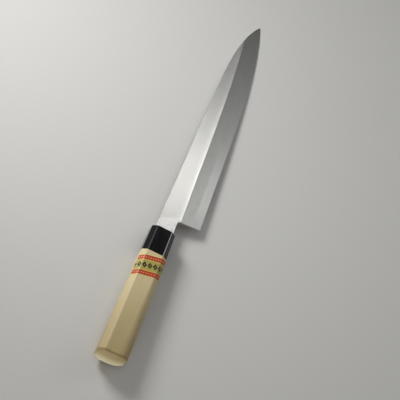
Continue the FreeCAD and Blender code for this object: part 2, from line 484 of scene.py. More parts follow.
@dataclass(frozen=True)
class LinePolishHighlight(Finish):
    """The narrow lines of the ridge and the spine's corner: burnished, and made brighter than their faces
    as a painted highlight.
    """

    NAME = "line_polish_highlight"

    # Painted highlight: this brighter colour makes the lines shine, and the ridge's strip shades with the
    # flat's normals
    colour: Colour = srgb(251, 250, 247)
    roughness: float = 0.25
    rub_roughness: float = 0.02
    rub: Grain = Grain((900.0, 60.0, 900.0))
    rub_share: float = 0.3

    def write(self, shader: Shader) -> None:
        """Writes the surface's nodes.

        Args:
            shader: The material's shader.
        """
        rub = shader.noise(self.rub)
        shader.surface({
            "Base Color": shader.mix(self.rub_share * rub, self.colour, FlatPolish.colour),
            "Metallic": 1.0,
            "Roughness": self.roughness + self.rub_roughness * rub.swing(),
        })


def heel_share(along: Signal) -> Signal:
    """The brighter stoning past the heel.

    Args:
        along: The place along the knife.

    Returns:
        1 a little past the heel, and 0 at the heel itself and from mid-blade on.
    """
    place = along - MARKS.ferrule_front
    return place.rise(*STONED_FROM) * place.rise(*STONED_TO)


@dataclass(frozen=True)
class BevelHaze(Finish):
    """The wide bevel: iron left cloudy by fine stones, brightening into the hard edge."""

    NAME = "bevel_haze"

    colour: Colour = srgb(190, 190, 186)
    cloud_colour: Colour = srgb(182, 182, 178)
    weld_colour: Colour = srgb(206, 206, 203)
    roughness: float = 0.31
    grain_roughness: float = 0.015
    clouds: Grain = Grain((160.0, 45.0, 160.0), detail=5.0, roughness=0.6, distortion=0.8)
    stone: Grain = Grain((700.0, 9000.0, 700.0), turn=math.radians(24))
    drawn: Grain = Grain((4200.0, 60.0, 900.0), roughness=0.6)
    waves: Grain = Grain((30.0, 110.0, 30.0), roughness=0.6)
    cloud_rise: Stretch = (0.3, 0.75)
    drawn_share: float = 0.9
    stone_share: float = 0.5
    weld_rise: Stretch = (0.52, 0.67)
    weld_wave: float = 0.16
    weld_cloud: float = 0.05
    stone_height: float = 0.6
    drawn_height: float = 0.4
    bump_strength: float = 0.06
    bump_depth: float = 0.002 * MM

    def write(self, shader: Shader) -> None:
        """Writes the surface's nodes.

        Args:
            shader: The material's shader.
        """
        _, along, _ = shader.axes()
        share = shader.attribute(Blade.SHARE)
        clouds = shader.noise(self.clouds)
        stone = shader.noise(self.stone)
        drawn = shader.noise(self.drawn)
        waves = shader.noise(self.waves)
        border = share + self.weld_wave * waves.swing() + self.weld_cloud * clouds.swing()
        weld = border.rise(*self.weld_rise)
        strokes = self.drawn_share * drawn.swing() + self.stone_share * stone.swing()
        cloudy = clouds.rise(*self.cloud_rise) + strokes
        colour = shader.mix(cloudy.clipped(), self.colour, self.cloud_colour)
        colour = shader.mix(weld * heel_share(along), colour, self.weld_colour)
        height = self.stone_height * stone + self.drawn_height * drawn
        shader.surface({
            "Base Color": colour,
            "Metallic": 1.0,
            "Roughness": self.roughness + self.grain_roughness * (stone.swing() + clouds.swing()),
            "Normal": shader.bump(height, self.bump_strength, self.bump_depth),
        })


@dataclass(frozen=True)
class EdgeStone(Finish):
    """The hard steel along the edge: a lighter streaky band, finer than the iron beside it."""

    NAME = "edge_stone"

    colour: Colour = srgb(206, 206, 203)
    streak_colour: Colour = srgb(194, 194, 191)
    tip_colour: Colour = srgb(186, 186, 183)
    roughness: float = 0.31
    streak_roughness: float = 0.02
    stone_roughness: float = 0.01
    streaks: Grain = Grain((2600.0, 40.0, 900.0), detail=4.0, roughness=0.65)
    stone: Grain = Grain((900.0, 7000.0, 900.0), turn=math.radians(18))
    streak_rise: Stretch = (0.35, 0.7)
    bump_strength: float = 0.06
    bump_depth: float = 0.002 * MM

    def write(self, shader: Shader) -> None:
        """Writes the surface's nodes.

        Args:
            shader: The material's shader.
        """
        _, along, _ = shader.axes()
        streaks = shader.noise(self.streaks)
        stone = shader.noise(self.stone)
        colour = shader.mix(streaks.rise(*self.streak_rise), self.colour, self.streak_colour)
        colour = shader.mix(heel_share(along), self.tip_colour, colour)
        rough = self.streak_roughness * streaks.swing() + self.stone_roughness * stone.swing()
        shader.surface({
            "Base Color": colour,
            "Metallic": 1.0,
            "Roughness": self.roughness + rough,
            "Normal": shader.bump((streaks + stone) / 2, self.bump_strength, self.bump_depth),
        })


@dataclass(frozen=True)
class RimPolish(Finish):
    """The narrow flat rim of the back, rubbed bright on a fine stone."""

    NAME = "rim_polish"

    colour: Colour = srgb(226, 225, 221)
    rub_colour: Colour = srgb(212, 211, 207)
    roughness: float = 0.24
    rub_roughness: float = 0.02
    rub: Grain = Grain((900.0, 90.0, 900.0))

    def write(self, shader: Shader) -> None:
        """Writes the surface's nodes.

        Args:
            shader: The material's shader.
        """
        rub = shader.noise(self.rub)
        shader.surface({
            "Base Color": shader.mix(rub, self.colour, self.rub_colour),
            "Metallic": 1.0,
            "Roughness": self.roughness + self.rub_roughness * rub.swing(),
        })


@dataclass(frozen=True)
class HollowGrind(Finish):
    """The hollow of the back, left with the fine lines of the grinding wheel."""

    NAME = "hollow_grind"

    colour: Colour = srgb(196, 196, 192)
    groove_colour: Colour = srgb(172, 172, 168)
    roughness: float = 0.33
    groove_roughness: float = 0.04
    cloud_roughness: float = 0.03
    grooves: Grain = Grain((3400.0, 30.0, 900.0), detail=4.0, roughness=0.65)
    clouds: Grain = Grain((70.0, 24.0, 70.0))
    groove_share: float = 0.7
    cloud_share: float = 0.3
    bump_strength: float = 0.10
    bump_depth: float = 0.003 * MM

    def write(self, shader: Shader) -> None:
        """Writes the surface's nodes.

        Args:
            shader: The material's shader.
        """
        grooves = shader.noise(self.grooves)
        clouds = shader.noise(self.clouds)
        dark = self.groove_share * grooves + self.cloud_share * clouds
        rough = self.groove_roughness * grooves.swing() + self.cloud_roughness * clouds.swing()
        shader.surface({
            "Base Color": shader.mix(dark, self.colour, self.groove_colour),
            "Metallic": 1.0,
            "Roughness": self.roughness + rough,
            "Normal": shader.bump(grooves, self.bump_strength, self.bump_depth),
        })


@dataclass(frozen=True)
class HornGloss(Finish):
    """Buffalo horn: near black, with faint brown fibres under a polished skin."""

    NAME = "horn_gloss"

    colour: Colour = (0.0026, 0.0025, 0.0027, 1.0)
    fibre_colour: Colour = (0.016, 0.012, 0.010, 1.0)
    roughness: float = 0.10
    rub_roughness: float = 0.10
    fibre_roughness: float = 0.05
    fibres: Grain = Grain((420.0, 36.0, 420.0), detail=5.0, roughness=0.6, distortion=0.5)
    rub: Grain = Grain((2400.0, 300.0, 2400.0), roughness=0.6)
    fibre_rise: Stretch = (0.5, 0.85)
    refraction: float = 1.54
    bump_strength: float = 0.06
    bump_depth: float = 0.01 * MM

    def write(self, shader: Shader) -> None:
        """Writes the surface's nodes.

        Args:
            shader: The material's shader.
        """
        fibres = shader.noise(self.fibres)
        rub = shader.noise(self.rub)
        rough = self.rub_roughness * rub.swing() + self.fibre_roughness * fibres.swing()
        shader.surface({
            "Base Color": shader.mix(fibres.rise(*self.fibre_rise), self.colour, self.fibre_colour),
            "Roughness": self.roughness + rough,
            "IOR": self.refraction,
            "Normal": shader.bump((fibres + rub) / 2, self.bump_strength, self.bump_depth),
        })


@dataclass(frozen=True)
class PaleWood(Finish):
    """Magnolia: straight, almost grainless cream wood, darkened towards the butt partly by dirt from the
    hand and partly as painted shade.
    """

    NAME = "pale_wood"

    colour: Colour = srgb(211, 195, 152)
    late_colour: Colour = srgb(196, 175, 127)
    pore_colour: Colour = srgb(156, 128, 86)
    # Darker tone of random patches and of the butt end: partly dirt, partly painted shade
    soil_and_shade_colour: Colour = srgb(168, 148, 102)
    # Painted shade along the butt's upper rim
    rim_shade_colour: Colour = srgb(128, 101, 62)
    # Painted light on the lower part of the butt's end face
    end_light_colour: Colour = srgb(230, 219, 184)
    roughness: float = 0.52
    fibre_roughness: float = 0.14
    pore_roughness: float = 0.10
    gloss: float = 0.4
    fibres: Grain = Grain((1500.0, 26.0, 1500.0), detail=5.0, roughness=0.65)
    pores: Grain = Grain((2600.0, 130.0, 2600.0), detail=2.0)
    patches: Grain = Grain((42.0, 16.0, 42.0), roughness=0.55)
    sway: Grain = Grain((60.0, 9.0, 60.0))
    specks: Grain = Grain((3200.0, 3200.0, 3200.0), detail=1.0)
    pore_rise: Stretch = (0.66, 0.80)
    patch_rise: Stretch = (0.45, 0.8)
    speck_rise: Stretch = (0.60, 0.72)
    ring_gap: float = 2.3 * MM
    ring_sway: float = 1.6 * MM
    ring_sharpness: float = 3.0
    heart: tuple[float, float] = (-38 * MM, -55 * MM)
    late_share: float = 0.22
    fibre_share: float = 0.30
    fibre_floor: float = 0.35
    pore_share: float = 0.22
    patch_share: float = 0.35
    # Darkening towards the butt: partly dirt from the hand, partly painted shade of the light falling off
    soil_and_shade_share: float = 0.82
    late_height: float = 0.15
    bump_strength: float = 0.22
    bump_depth: float = 0.03 * MM
    # Painted shade on the butt's upper rim: how deep and how high it lies, and how strong and patchy it is
    rim_from: Stretch = (0.1 * MM, 0.9 * MM)
    rim_to: Stretch = (3.4 * MM, 1.6 * MM)
    rim_height: Stretch = (-3 * MM, 6 * MM)
    rim_shade_share: float = 0.6
    rim_shade_even: float = 0.6
    rim_shade_patchy: float = 0.8
    end_rise: Stretch = (0.8 * MM, 0.1 * MM)
    # Painted light on the end face, graded from its top to its bottom
    end_light_height: Stretch = (5 * MM, -7 * MM)
    end_light_share: float = 0.90
    end_pores: float = 0.20

    def write(self, shader: Shader) -> None:
        """Writes the surface's nodes.

        Args:
            shader: The material's shader.
        """
        across, along, up = shader.axes()
        late = self.rings(shader, across, up)
        fibres = shader.noise(self.fibres)
        pores = shader.noise(self.pores).rise(*self.pore_rise)
        patches = shader.noise(self.patches)
        # Towards the butt: partly dirt from the hand, partly painted shade where the light falls off
        handled_and_shaded = along.rise(MARKS.joint, MARKS.butt)
        dark = self.late_share * late + self.fibre_share * (fibres - self.fibre_floor)
        soiled_and_shaded = self.patch_share * patches.rise(*self.patch_rise) + self.soil_and_shade_share * handled_and_shaded
        colour = shader.mix(dark, self.colour, self.late_colour)
        colour = shader.mix(self.pore_share * pores, colour, self.pore_colour)
        colour = shader.mix(soiled_and_shaded.clipped(), colour, self.soil_and_shade_colour)
        colour = self.butt_end(shader, colour, up, late, patches)
        height = (fibres - pores) / 2 + self.late_height * late
        rough = self.fibre_roughness * fibres.swing() + self.pore_roughness * pores
        shader.surface({
            "Base Color": colour,
            "Roughness": self.roughness + rough,
            "Specular IOR Level": self.gloss,
            "Normal": shader.bump(height, self.bump_strength, self.bump_depth),
        })

    def rings(self, shader: Shader, across: Signal, up: Signal) -> Signal:
        """The late wood of the growth rings.

        Args:
            shader: The shader.
            across: The place across the handle.
            up: The place up the handle.

        Returns:
            1 in the middle of a ring's late wood and 0 between.
        """
        left = across - (MARKS.axis_x + self.heart[0])
        below = up - (MARKS.axis_z + self.heart[1])
        radius = (left * left + below * below).root() + self.ring_sway * shader.noise(self.sway).swing()
        wave = (radius * (2 * math.pi / self.ring_gap)).sine()
        return ((1.0 + wave) / 2) ** self.ring_sharpness

    def butt_end(self, shader: Shader, colour: bpy.types.NodeSocket, up: Signal, late: Signal,
                 patches: Signal) -> bpy.types.NodeSocket:
        """Lays a painted shade along the butt's upper rim, and painted light that pales the end face
        towards its bottom, over the wood.

        Args:
            shader: The shader.
            colour: The wood's colour.
            up: The place up the handle.
            late: The late wood of the rings.
            patches: Slow noise.

        Returns:
            The colour.
        """
        depth = shader.attribute(Grip.DEPTH)
        height = up - MARKS.axis_z
        rim = depth.rise(*self.rim_from) * depth.rise(*self.rim_to) * height.rise(*self.rim_height)
        end = depth.rise(*self.end_rise)
        # Painted light: the end face grows paler towards its bottom
        pale = end * height.rise(*self.end_light_height)
        specks = shader.noise(self.specks).rise(*self.speck_rise)
        # Painted shade along the upper rim of the butt
        rim_shade = self.rim_shade_share * rim * (self.rim_shade_even + self.rim_shade_patchy * patches)
        colour = shader.mix(rim_shade, colour, self.rim_shade_colour)
        colour = shader.mix(self.end_light_share * pale, colour, self.end_light_colour)
        return shader.mix(self.end_pores * end * (late + specks), colour, self.pore_colour)


@dataclass(frozen=True)
class WrapPrint(Finish):
    """Printed paper under a thin clear film: two bands of dots about a row of lozenges.

    Places along the sheet are shares of its length from its middle, and places across it are shares of
    one lozenge or one dot from that one's middle.
    """

    NAME = "wrap_print"

    paper: Colour = srgb(232, 205, 150)
    band: Colour = srgb(184, 44, 6)
    ground: Colour = srgb(172, 158, 78)
    lozenge: Colour = srgb(22, 30, 10)
    gold: Colour = srgb(214, 190, 108)
    lozenges: float = 7.0
    lozenge_half: tuple[float, float] = (0.46, 0.145)
    lozenge_rise: Stretch = (1.03, 0.97)
    hole_rise: Stretch = (0.30, 0.22)
    dots: float = 15.0
    dot_half: tuple[float, float] = (0.17, 0.026)
    dot_rise: Stretch = (1.1, 0.8)
    band_middle: float = 0.36
    band_rise: Stretch = (0.101, 0.089)
    line_place: float = 0.131
    line_rise: Stretch = (0.012, 0.0048)
    margin_rise: Stretch = (0.485, 0.475)
    wear: Grain = Grain((900.0, 900.0, 900.0), detail=4.0, roughness=0.7)
    wear_rise: Stretch = (0.55, 0.8)
    wear_share: float = 0.22
    roughness: float = 0.42
    wear_roughness: float = 0.2
    gloss: float = 0.35
    film: float = 0.15
    film_roughness: float = 0.12
    wrinkles: Grain = Grain((240.0, 150.0, 240.0))
    bump_strength: float = 0.25
    bump_depth: float = 0.12 * MM

    def write(self, shader: Shader) -> None:
        """Writes the surface's nodes.

        Args:
            shader: The material's shader.
        """
        across, along, _ = shader.axes(Coords.UV)
        from_middle = abs(along - MIDDLE)
        from_band = abs(from_middle - self.band_middle)
        band = from_band.rise(*self.band_rise)
        line = abs(from_band - self.line_place).rise(*self.line_rise)
        cell = abs((across * self.lozenges) % 1.0 - MIDDLE)
        slope = cell / self.lozenge_half[0] + from_middle / self.lozenge_half[1]
        lozenge = slope.rise(*self.lozenge_rise) - slope.rise(*self.hole_rise)
        spot = abs((across * self.dots) % 1.0 - MIDDLE)
        reach = (spot / self.dot_half[0]) ** 2.0 + (from_band / self.dot_half[1]) ** 2.0
        dot = reach.rise(*self.dot_rise)
        wear = shader.noise(self.wear)
        colour = shader.mix(lozenge, self.ground, self.lozenge)
        colour = shader.mix(line, colour, self.gold)
        colour = shader.mix(band, colour, self.band)
        colour = shader.mix(dot * band, colour, self.paper)
        colour = shader.mix(from_middle.rise(*self.margin_rise), self.paper, colour)
        colour = shader.mix(self.wear_share * wear.rise(*self.wear_rise), colour, self.paper)
        shader.surface({
            "Base Color": colour,
            "Roughness": self.roughness + self.wear_roughness * wear.swing(),
            "Specular IOR Level": self.gloss,
            "Coat Weight": self.film,
            "Coat Roughness": self.film_roughness,
            "Normal": shader.bump(shader.noise(self.wrinkles), self.bump_strength, self.bump_depth),
        })


@dataclass(frozen=True)
class PlainFloor(Finish):
    """A pale matt board with a trace of tooth."""

    NAME = "plain_floor"

    colour: Colour = srgb(208, 207, 203)
    tooth_colour: Colour = srgb(203, 202, 198)
    roughness: float = 0.7
    tooth: Grain = Grain((900.0, 900.0, 900.0), detail=2.0)

    def write(self, shader: Shader) -> None:
        """Writes the surface's nodes.

        Args:
            shader: The material's shader.
        """
        shader.surface({
            "Base Color": shader.mix(shader.noise(self.tooth), self.colour, self.tooth_colour),
            "Roughness": self.roughness,
        })


def deselect_all() -> None:
    if bpy.context.mode != "OBJECT":
        bpy.ops.object.mode_set(mode="OBJECT")
    bpy.ops.object.select_all(action="DESELECT")


def activate(piece: bpy.types.Object) -> None:
    """Makes one object the only one that operators act on.

    Args:
        piece: The object.
    """
    deselect_all()
    piece.select_set(True)
    bpy.context.view_layer.objects.active = piece


@contextmanager
def editing(piece: bpy.types.Object) -> Iterator[None]:
    """Keeps one object in edit mode for the length of a with block.

    Args:
        piece: The object.

    Yields:
        Nothing.
    """
    activate(piece)
    bpy.ops.object.mode_set(mode="EDIT")
    yield
    bpy.ops.object.mode_set(mode="OBJECT")


def cut_across(places: Iterable[float]) -> None:
    """Cuts the faces of the piece that is in edit mode straight across the knife.

    Args:
        places: Where each cut lies along the knife.
    """
    for y in places:
        bpy.ops.mesh.select_all(action="SELECT")
        bpy.ops.mesh.bisect(plane_co=(0.0, y, 0.0), plane_no=(0.0, 1.0, 0.0))


def select_edges(piece: bpy.types.Object, wanted: Callable[[bmesh.types.BMEdge], bool]) -> None:
    """Selects edges of the piece in edit mode.

    Args:
        piece: The active object, in edit mode.
        wanted: Says of an edge whether it is selected.
    """
    bpy.ops.mesh.select_mode(type="EDGE")
    bpy.ops.mesh.select_all(action="DESELECT")
    mesh = bmesh.from_edit_mesh(piece.data)
    for edge in [edge for edge in mesh.edges if wanted(edge)]:
        edge.select_set(True)
    mesh.select_flush_mode()
    bmesh.update_edit_mesh(piece.data)


def merged_copy(node: Node, name: str) -> bpy.types.Object:
    """A copy of a solid's mesh with its triangles joined into whole faces.

    Args:
        node: The solid.
        name: The new piece's name.

    Returns:
        The copy, active and selected, at the origin.
    """
    weld = 0.002 * MM
    flat_angle = math.radians(0.15)
    activate(frame["nodes"][node.value])
    bpy.ops.object.duplicate()
    piece = bpy.context.active_object
    bpy.ops.object.parent_clear(type="CLEAR")
    piece.name = name
    piece.data.name = name
    piece.data.materials.clear()
    del piece["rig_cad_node"]
    del piece["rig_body"]
    with editing(piece):
        bpy.ops.mesh.select_all(action="SELECT")
        bpy.ops.mesh.remove_doubles(threshold=weld)
        bpy.ops.mesh.customdata_custom_splitnormals_clear()
        bpy.ops.mesh.dissolve_limited(angle_limit=flat_angle)
    return piece


def apply_modifier(piece: bpy.types.Object, kind: str, settings: Mapping[str, object]) -> None:
    """Adds a modifier to the piece and applies it.

    Args:
        piece: The object.
        kind: The modifier's type.
        settings: Its properties.
    """
    activate(piece)
    bpy.ops.object.modifier_add(type=kind)
    modifier = piece.modifiers[-1]
    for name, value in settings.items():
        setattr(modifier, name, value)
    bpy.ops.object.modifier_apply(modifier=modifier.name)


def smooth(piece: bpy.types.Object, angle: float) -> None:
    """Shades a piece smooth up to an angle, with its large faces kept flat.

    Args:
        piece: The object.
        angle: The angle from which an edge stays sharp.
    """
    activate(piece)
    bpy.ops.object.shade_smooth_by_angle(angle=angle)
    apply_modifier(piece, "WEIGHTED_NORMAL", {"keep_sharp": True, "weight": FACE_WEIGHT})


def settle(piece: bpy.types.Object, node: Node) -> bpy.types.Object:
    """Lets a finished piece stand for its solid.

    Args:
        piece: The piece, at the origin.
        node: The solid that it stands for.

    Returns:
        The piece.
    """
    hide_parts(node.value)
    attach(piece, BODY)
    LOG.info("%s stands for %s with %d faces", piece.name, node.value, len(piece.data.polygons))
    return piece


@dataclass
class Blade:
    """The iron body with its steel edge: flat, ridge, bevel and hollow back."""

    SHARE = "bevel_share"

    bevel_width: float = 19.3 * MM
    ridge_round: float = 0.42 * MM
    ridge_steps: int = 2
    smooth_angle: float = math.radians(25)
    flat_tilt: float = math.radians(1.6)
    bevel_tilt: float = math.radians(14)
    corner_tilts: Stretch = (math.radians(-70), math.radians(-35))
    slices: int = 64
    upward: float = 0.9
    normal_reach: float = 12.0 * MM
    hollow_start: float = 0.006 * MM
    edge_places: list[Vector] = field(default_factory=list)

    def build(self) -> list[bpy.types.Object]:
        """Models the two pieces of the blade.

        Returns:
            The iron body and the edge band.
        """
        self.edge_places = self.find_edge()
        body = merged_copy(Node.IRON, "blade_body")
        self.dress_body(body)
        self.round_ridge(body)
        band = merged_copy(Node.STEEL, "edge_band")
        self.dress_band(band)
        for piece in (body, band):
            self.slice_along(piece)
            self.mark_share(piece)
            smooth(piece, self.smooth_angle)
        # The ridge's strip shades with the flat's normals, so it shines only by its painted highlight
        # colour
        self.even_normals((body,), IronFace.FLAT.value, {IronFace.FLAT.value, IronFace.LINE.value})
        self.even_normals((body, band), SteelFace.BEVEL.value, {SteelFace.BEVEL.value})
        return [settle(body, Node.IRON), settle(band, Node.STEEL)]

    @staticmethod
    def find_edge() -> list[Vector]:
        """Finds the cutting edge among the steel's points: the outermost ones, as the edge bulges outwards.

        Returns:
            The edge's points, from heel to tip.
        """
        rows: dict[float, Vector] = {}
        for vertex in frame["nodes"][Node.STEEL.value].data.vertices:
            row = round(vertex.co.y, ROW_DIGITS)
            if row not in rows or vertex.co.x > rows[row].x:
                rows[row] = vertex.co.copy()
        outermost: list[Vector] = []
        for place in (rows[row] for row in sorted(rows)):
            while len(outermost) > 1:
                first, last = outermost[-2:]
                run, step = last - first, place - last
                if run.y * step.x - run.x * step.y < 0:
                    break
                outermost.pop()
            outermost.append(place)
        return outermost

    def edge_x(self, y: float) -> float:
        """Where the cutting edge lies beside a place along the blade.

        Args:
            y: The place along the blade.

        Returns:
            The edge's X there.
        """
        for near, far in zip(self.edge_places, self.edge_places[1:]):
            if near.y <= y <= far.y:
                return near.x + (far.x - near.x) * (y - near.y) / (far.y - near.y)
        end = self.edge_places[0] if y < self.edge_places[0].y else self.edge_places[-1]
        return end.x

    def round_ridge(self, body: bpy.types.Object) -> None:
        """Eases the ridge between flat and bevel into a narrow strip, which takes the line finish and its
        painted highlight.

        Args:
            body: The iron body.
        """
        sides = {IronFace.FLAT.value, IronFace.BEVEL.value}

        def on_ridge(edge: bmesh.types.BMEdge) -> bool:
            """Whether an edge lies between flat and bevel."""
            upright = all(face.normal.z >= self.upward for face in edge.link_faces)
            return upright and {face.material_index for face in edge.link_faces} == sides

        with editing(body):
            select_edges(body, on_ridge)
            bpy.ops.mesh.bevel(offset=self.ridge_round, offset_type="OFFSET", segments=self.ridge_steps,
                               affect="EDGES")
        for face in body.data.polygons:
            if face.select:
                face.material_index = IronFace.LINE.value

    def slice_along(self, piece: bpy.types.Object) -> None:
        """Cuts the long faces of a piece of the blade into short ones, so that it shades evenly.

        Args:
            piece: A piece of the blade.
        """
        length = MARKS.tip.y - MARKS.ferrule_front
        with editing(piece):
            cut_across(MARKS.ferrule_front + step * length / self.slices for step in range(1, self.slices))

    def even_normals(self, pieces: Sequence[bpy.types.Object], ground: int, dressed: set[int]) -> None:
        """Lets the normal of one ground face change along the blade only, and gently.

        Args:
            pieces: The pieces that share the ground face.
            ground: The index of that face's finish.
            dressed: The indices of the finishes that take its normal.
        """
        upright = [(piece, face) for piece in pieces for face in piece.data.polygons
                   if face.normal.z > self.upward]
        measured = [face for _, face in upright if face.material_index == ground]
        rows: dict[float, Vector] = {}

        def mean_normal(y: float) -> Vector:
            """The mean direction of the ground face about one place along the blade.

            Args:
                y: The place.

            Returns:
                The direction.
            """
            row = round(y / MM, 1)
            if row not in rows:
                total = Vector()
                for face in measured:
                    away = (face.center.y - y) / self.normal_reach
                    total += face.normal * face.area * math.exp(-away ** 2)
                rows[row] = total.normalized()
            return rows[row]

        for piece in pieces:
            mesh = piece.data
            normals = [corner.vector.copy() for corner in mesh.corner_normals]
            for owner, face in upright:
                if owner is piece and face.material_index in dressed:
                    for loop in face.loop_indices:
                        normals[loop] = mean_normal(mesh.vertices[mesh.loops[loop].vertex_index].co.y)
            mesh.normals_split_custom_set(normals)

    def mark_share(self, piece: bpy.types.Object) -> None:
        """Writes at each point how far it lies across the bevel, 0 at the ridge and 1 at the edge.

        Args:
            piece: A piece of the blade.
        """
        shares = piece.data.attributes.new(self.SHARE, "FLOAT", "POINT")
        for vertex in piece.data.vertices:
            gap = self.edge_x(vertex.co.y) - vertex.co.x
            shares.data[vertex.index].value = 1.0 - gap / self.bevel_width

    def dress_body(self, body: bpy.types.Object) -> None:
        """Gives the iron body's faces their finishes, by the way they lean.

        Args:
            body: The iron body.
        """
        for finish in (FlatPolish(), BevelHaze(), LinePolishHighlight()):
            body.data.materials.append(finish.make())
        for face in body.data.polygons:
            lean = math.atan2(face.normal.x, face.normal.z)
            if self.flat_tilt < lean < self.bevel_tilt:
                face.material_index = IronFace.BEVEL.value
            elif self.corner_tilts[0] < lean < self.corner_tilts[1] and face.normal.z > 0:
                face.material_index = IronFace.LINE.value

    def dress_band(self, band: bpy.types.Object) -> None:
        """Gives the edge band its finishes, and the hollow of the back a crisp border.

        Args:
            band: The edge band.
        """
        for finish in (RimPolish(), EdgeStone(), HollowGrind()):
            band.data.materials.append(finish.make())
        back = min(vertex.co.z for vertex in band.data.vertices)
        for face in band.data.polygons:
            if self.flat_tilt < math.atan2(face.normal.x, face.normal.z) < self.bevel_tilt:
                face.material_index = SteelFace.BEVEL.value
            elif face.normal.z < -self.upward and face.center.z > back + self.hollow_start:
                face.material_index = SteelFace.HOLLOW.value
        with editing(band):
            select_edges(band, lambda edge: len({face.material_index for face in edge.link_faces}) > 1)
            bpy.ops.mesh.mark_sharp()


@dataclass
class Ferrule:
    """The octagonal horn collar on the front of the handle."""

    smooth_angle: float = math.radians(12)
    bore_reach: float = 8.0 * MM
    strip_area: float = 15.0 * MM * MM
    strip_lean: float = 0.1

    def build(self) -> list[bpy.types.Object]:
        """Models and dresses the collar.

        Returns:
            The collar alone.
        """
        collar = merged_copy(Node.FERRULE, "horn_ferrule")
        self.flatten_arrises(collar)
        smooth(collar, self.smooth_angle)
        collar.data.materials.append(HornGloss().make())
        return [settle(collar, Node.FERRULE)]

    def flatten_arrises(self, collar: bpy.types.Object) -> None:
        """Makes each arris one narrow polished facet, which catches the light as a line.

        Args:
            collar: The collar.
        """
        def on_arris(face: bmesh.types.BMFace) -> bool:
            """Tells the strips of a rounded arris from the collar's other faces.

            Args:
                face: A face of the collar.

            Returns:
                Whether it is such a strip.
            """
            middle = face.calc_center_median()
            reach = math.hypot(middle.x - MARKS.axis_x, middle.z - MARKS.axis_z)
            lengthwise = abs(face.normal.y) < self.strip_lean
            return lengthwise and reach > self.bore_reach and face.calc_area() < self.strip_area

        with editing(collar):
            select_edges(collar, lambda edge: all(on_arris(face) for face in edge.link_faces))
            bpy.ops.mesh.dissolve_edges(use_verts=True)


@dataclass
class Grip:
    """The octagonal wooden handle, its butt worn round on the side of the cutting edge."""

    DEPTH = "butt_depth"

    smooth_angle: float = math.radians(40)
    worn_depth: float = 2.4 * MM
    worn_from: float = -3.0 * MM
    worn_to: float = 13.3 * MM
    worn_power: float = 2.2
    worn_reach: float = 12.0 * MM
    rows: int = 8
    columns: int = 16

    def build(self) -> list[bpy.types.Object]:
        """Models and dresses the handle.

        Returns:
            The handle alone.
        """
        grip = merged_copy(Node.WOOD, "wood_grip")
        self.slice_butt(grip)
        self.wear_butt(grip)
        smooth(grip, self.smooth_angle)
        grip.data.materials.append(PaleWood().make())
        return [settle(grip, Node.WOOD)]

    def slice_butt(self, grip: bpy.types.Object) -> None:
        """Cuts the end of the handle into small faces, which can be bent.

        Args:
            grip: The handle.
        """
        end = MARKS.butt + self.worn_reach
        with editing(grip):
            cut_across(MARKS.butt + self.worn_reach * row / self.rows for row in range(1, self.rows + 1))
            for column in range(self.columns):
                share = column / self.columns
                x = MARKS.axis_x + self.worn_from + share * (self.worn_to - self.worn_from)
                select_edges(grip, lambda edge: all(vertex.co.y < end for vertex in edge.verts))
                bpy.ops.mesh.bisect(plane_co=(x, 0.0, 0.0), plane_no=(1.0, 0.0, 0.0))

    def wear_butt(self, grip: bpy.types.Object) -> None:
        """Draws the butt in towards the edge side, and marks how deep each point lay before.

        Args:
            grip: The handle, with its end in small faces.
        """
        depths = grip.data.attributes.new(self.DEPTH, "FLOAT", "POINT")
        for vertex in grip.data.vertices:
            depth = vertex.co.y - MARKS.butt
            depths.data[vertex.index].value = depth
            across = (vertex.co.x - MARKS.axis_x - self.worn_from) / (self.worn_to - self.worn_from)
            fade = 1.0 - depth / self.worn_reach
            if across > 0.0 and fade > 0.0:
                vertex.co.y += self.worn_depth * across ** self.worn_power * fade ** 2


